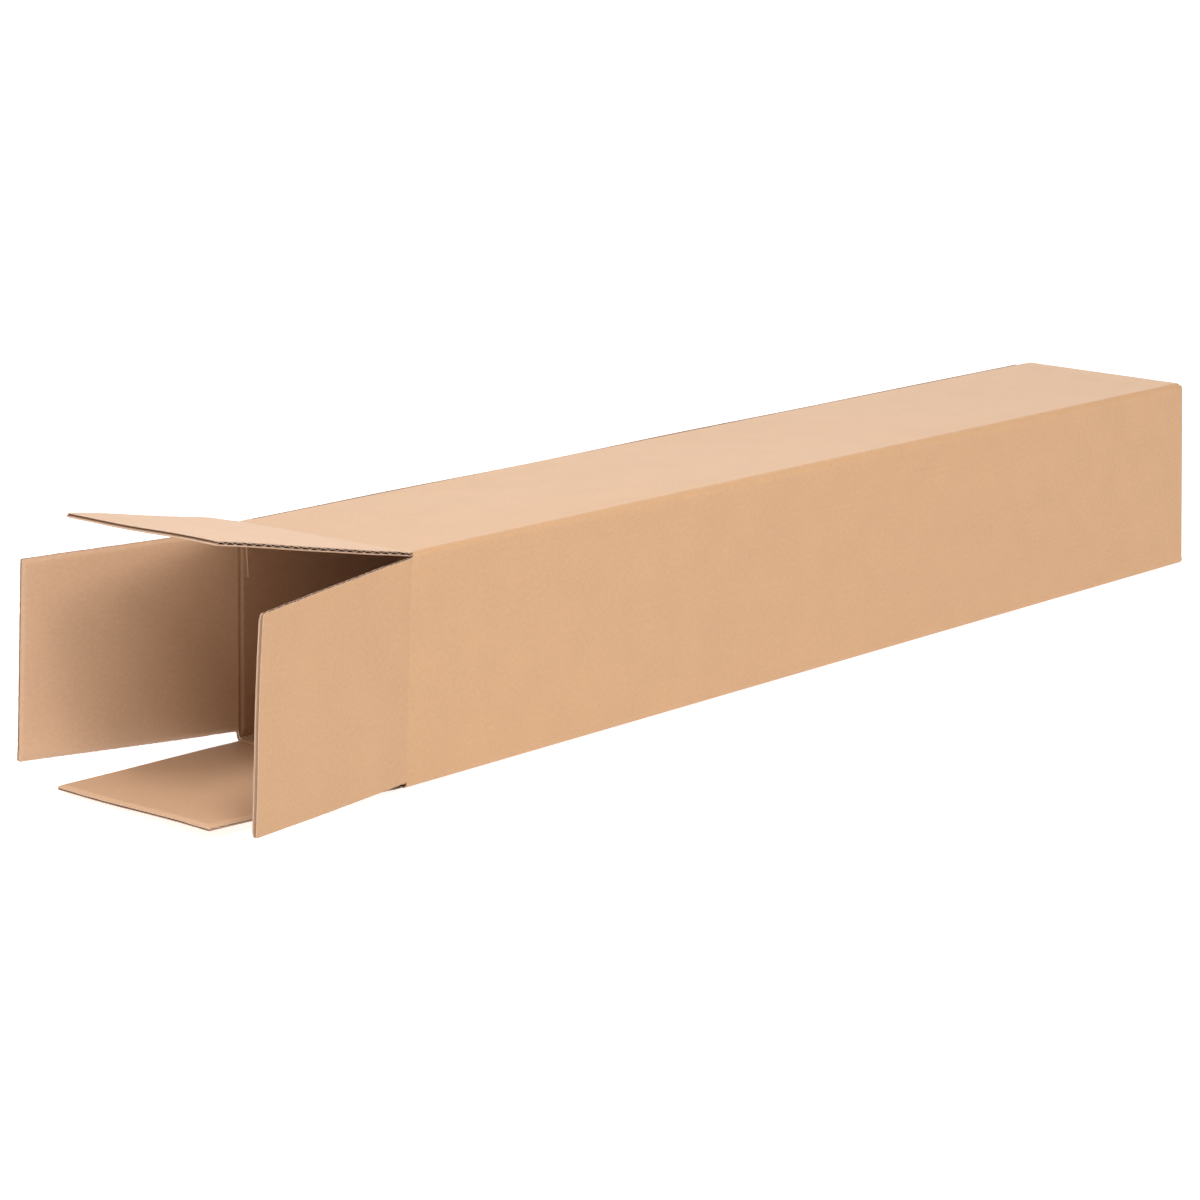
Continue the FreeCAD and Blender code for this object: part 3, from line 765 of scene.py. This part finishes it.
def make_flap(name, f):
    n, ax = np.array(f["n"], float), np.array(f["a"], float)
    long_, opening = f["long"], math.radians(f["open"])
    pivot = np.array(HINGE[f["body"]], float)
    seed = f["seed"]
    (r0, r1), (q0, q1) = f["root"], f["tip"]
    d_lines = lines((-LIP, 0.3), (3.0, PITCH / 10), (long_ - 2.4, 0.3), (long_ - 0.3, 0.15), long_)
    t_lines = lines((r0, 0.35), (r0 + 0.7, 0.6), (r0 + 2.5, 1.2), (r0 + 6.1, 2.3),
                    (r1 - 6.1, 1.2), (r1 - 2.5, 0.6), (r1 - 0.7, 0.35), r1)

    def grid(h, d_in=0.0, relief=None, ds=d_lines, ts=t_lines, fray=1.0, kind=0):
        """Points at depth h, with the free edge drawn back by d_in."""
        d0, t0 = np.meshgrid(ds, ts, indexing="ij")
        s = (t0 - r0) / (r1 - r0)
        g = np.clip(d0 / long_, 0, 1)
        (du0, dt0, dn0), (du1, dt1, dn1) = f["free"]
        left, right = np.clip(1 - (t0 - r0) / 8, 0, 1), np.clip(1 - (r1 - t0) / 8, 0, 1)
        # the sides run in a little towards the free edge
        t = t0 + g * ((q0 + dt0 - r0) * (1 - s) + (q1 + dt1 - r1) * s)
        # slots end in a small round
        for r, side, sign in ((f["fillet"][0], left, 1), (f["fillet"][1], right, -1)):
            k = np.clip((d0 + LIP) / r, 0, 1)
            t = t + sign * side * r * np.sqrt(1 - (1 - k) ** 2) * (1 - g)
        # rounded free corners
        for r, side, sign in ((f["round"][0], left, 1), (f["round"][1], right, -1)):
            k = np.clip((d0 - (long_ - r)) / r, 0, 1)
            t = t + sign * side * r * (1 - np.sqrt(np.clip(1 - k * k, 0, 1)))
        # the cut is not perfectly straight
        near = np.minimum(t0 - r0, r1 - t0)
        on_side = np.exp(-near / 0.5)
        out = np.where(s > 0.5, 1.0, -1.0)
        wob = np.where(s > 0.5, ragged(seed * 7 + 1 + kind, d0, 1.1), ragged(seed * 7 + 2 + kind, d0, 1.1))
        t = t + out * on_side * fray * (0.06 * wob - 0.03) * smooth((d0 - 1.0) / 3.0)
        on_end = np.exp(-(long_ - d0) / 0.5)
        d = d0 + on_end * fray * (0.07 * ragged(seed * 7 + 3 + kind, t0, 1.3) - 0.05)
        if d_in:
            d = d - d_in * np.clip((d0 - (long_ - 12)) / 12, 0, 1) ** 2
        d = d + g * (du0 * (1 - s) + du1 * s)
        normal = g * (dn0 * (1 - s) + dn1 * s)
        normal = normal + f["bow"] * np.sin(math.pi * g) * g * (0.7 + 0.3 * np.cos(math.pi * (s - 0.5)))
        normal = normal + 0.2 * waves(seed, d0, t0, 90) * smooth((d0 - 2) / 30)
        h = h + 0 * d0
        if relief is not None:
            h = h + relief(d0, t0)
        x, up, stray = bend(f["wall"], pivot[0] - d, t0, h - normal)
        up = up - stray * math.sin(opening) * g
        p = X_AX * x[..., None] + n * up[..., None] + t[..., None] * ax + pivot * (1 - X_AX)
        # the root follows the mouth; along the hinge the whole flap does
        root = pivot + t0[..., None] * ax - X_AX * d0.clip(None, 0)[..., None]
        off = settle(root)
        along = (off @ ax)[..., None] * ax
        return p + along + (off - along) * (1 - smooth((d0 - BEND_TO) / 30)[..., None])

    def board(dd, tt):
        """Thickness: crushed at the score, where the sides were cut, and at the free edge."""
        near = np.minimum(tt - r0, r1 - tt)
        side = (BOARD - f["side"]) * np.exp(-(near / 1.8) ** 2)
        end = (BOARD - f["end"]) * np.exp(-((long_ - dd) / 1.6) ** 2)
        return np.minimum(crush(dd + PRESS[name]), BOARD - np.maximum(side, end)) - 0.03

    d0, t0 = np.meshgrid(d_lines, t_lines, indexing="ij")
    edge = np.minimum(long_ - d0, np.minimum(t0 - r0, r1 - t0))
    edge = np.where(d0 < 1.5, np.maximum(edge, 1.5 - d0), edge)
    thick = board(d0, t0)
    sheet = lambda layer, dd=d0, tt=t0: np.stack(
        [pivot[0] - dd, v_of(f["wall"], tt), np.full(dd.shape, layer)], -1)
    full = np.ones((len(d_lines) - 1, len(t_lines) - 1), bool)
    theta = lambda d: TWO_PI * (long_ - d) / PITCH + f["phase"]

    def dip(side):
        """Liners sink very slightly between the flute tips, most at the cut sides."""
        return lambda d, t: side * smooth((d - 4) / 6) * (0.5 - side * 0.5 * np.cos(theta(d) + math.pi)) * \
            (0.012 + 0.06 * np.exp(-np.minimum(t - r0, r1 - t) / 1.0))

    b = Build()
    b.shell(grid(0.0, relief=dip(1)), grid(LINER, relief=dip(1)), full, sheet(0), edge, edge * 0,
            (FACE, DARK, RIM))
    b.shell(grid(thick, relief=dip(-1), kind=3), grid(thick - LINER, relief=dip(-1), kind=3),
            full, sheet(900), edge, edge * 0, (INNER, DARK, RIM))
    # the medium
    wd = lines((-LIP, 0.3), (3.0, PITCH / 14), long_)
    wt = lines((r0, 0.4), (r0 + 0.8, 2.5), (r0 + 6, 9), (r1 - 6, 2.5), (r1 - 0.8, 0.4), r1)
    dd, tt = np.meshgrid(wd, wt, indexing="ij")
    hm = medium(board(dd, tt), theta(dd))
    b.shell(grid(hm - WEB / 2, d_in=0.10, ds=wd, ts=wt, fray=1.6, kind=5),
            grid(hm + WEB / 2, d_in=0.10, ds=wd, ts=wt, fray=1.6, kind=5),
            np.ones((len(wd) - 1, len(wt) - 1), bool), sheet(400, dd, tt), dd * 0 + 5, dd * 0, (DARK, DARK, RIM))
    ob = b.write(name + "_board", MATS)
    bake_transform(ob)
    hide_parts(name)
    return ob


for name, f in FLAPS.items():
    make_flap(name, f)

# ------------------------------------------------------------------ floor, light, camera
scene = bpy.context.scene
me = bpy.data.meshes.new("floor")
S = 14.0
me.from_pydata([(-S, -S, 0), (S, -S, 0), (S, S, 0), (-S, S, 0)], [], [(0, 1, 2, 3)])
floor = bpy.data.objects.new("floor", me)
floor.location.z = -0.0002
scene.collection.objects.link(floor)
fm = bpy.data.materials.new("floor_paper")
fm.use_nodes = True
fb = fm.node_tree.nodes["Principled BSDF"]
fb.inputs["Base Color"].default_value = (0.58, 0.58, 0.58, 1)
fb.inputs["Roughness"].default_value = 1.0
fb.inputs["Specular IOR Level"].default_value = 0.0
# a white light table: it glows a little, so shadows on it stay faint
fb.inputs["Emission Color"].default_value = (1, 1, 1, 1)
fb.inputs["Emission Strength"].default_value = 0.78
me.materials.append(fm)

world = bpy.data.worlds.new("studio")
scene.world = world
world.use_nodes = True
bg = world.node_tree.nodes["Background"]
wt = world.node_tree
sky = node(wt, "ShaderNodeTexCoord")
up_z = node(wt, "ShaderNodeSeparateXYZ")
link(wt, sky.outputs["Generated"], up_z.inputs[0])
# white low down, dimmer overhead
link(wt, ramp(wt, up_z.outputs[2], [(0.0, (0.85,) * 3), (0.06, (0.82,) * 3), (0.14, (0.42,) * 3),
                                    (0.36, (0.13,) * 3), (1.0, (0.07,) * 3)]), bg.inputs["Color"])
bg.inputs["Strength"].default_value = 1.0


def towards(az, el):
    """Direction to azimuth az (0 is -Y, 90 is +X) and elevation el."""
    a, e = math.radians(az), math.radians(el)
    return Vector((math.sin(a) * math.cos(e), -math.cos(a) * math.cos(e), math.sin(e)))


def lamp(name, kind, az, el, angle, level, far=0.0):
    """Soft light that spans angle degrees and would light a white card facing it to
    level: a distant one, or a square panel far metres from the carton."""
    ld = bpy.data.lights.new(name, kind)
    to = towards(az, el)
    ob = bpy.data.objects.new(name, ld)
    if kind == "SUN":
        ld.energy, ld.angle = math.pi * level, math.radians(angle)
    else:
        ld.shape = "SQUARE"
        ld.size = 2 * far * math.tan(math.radians(angle) / 2)
        ld.energy = math.pi ** 2 * level * far ** 2
        ob.location = to * far + Vector((-0.25, 0, 0.06))
    ob.rotation_mode = "QUATERNION"
    ob.rotation_quaternion = to.to_track_quat("Z", "Y")
    scene.collection.objects.link(ob)
    return ob


lamp("key", "AREA", -28, 60, 15, 0.43, 4.2)
lamp("key_soft", "AREA", -28, 65, 38, 0.49, 4.2)
lamp("left", "AREA", -70, 49, 18, 0.37, 4.2)
lamp("low", "SUN", -10, 15, 40, 0.09)
lamp("left_back", "SUN", -120, 30, 50, 0.16)
lamp("back", "SUN", 180, 50, 50, 0.06)
lamp("rim", "SUN", 132, 20, 40, 0.34)

cam_data = bpy.data.cameras.new("camera")
cam_data.sensor_width = 36
cam_data.lens = 93.171
cam_data.clip_start, cam_data.clip_end = 0.05, 60
cam = bpy.data.objects.new("camera", cam_data)
right = Vector((0.675927, -0.736911, 0.009239)).normalized()
up = Vector((0.169014, 0.167205, 0.971327)).normalized()
back = right.cross(up)
cam.matrix_world = Matrix(((right.x, up.x, back.x, -1.50244), (right.y, up.y, back.y, -1.22928),
                           (right.z, up.z, back.z, 0.50056), (0, 0, 0, 1)))
scene.collection.objects.link(cam)
scene.camera = cam
scene.view_settings.view_transform = "Standard"
scene.view_settings.look = "None"
scene.view_settings.exposure = 0
scene.view_settings.gamma = 1
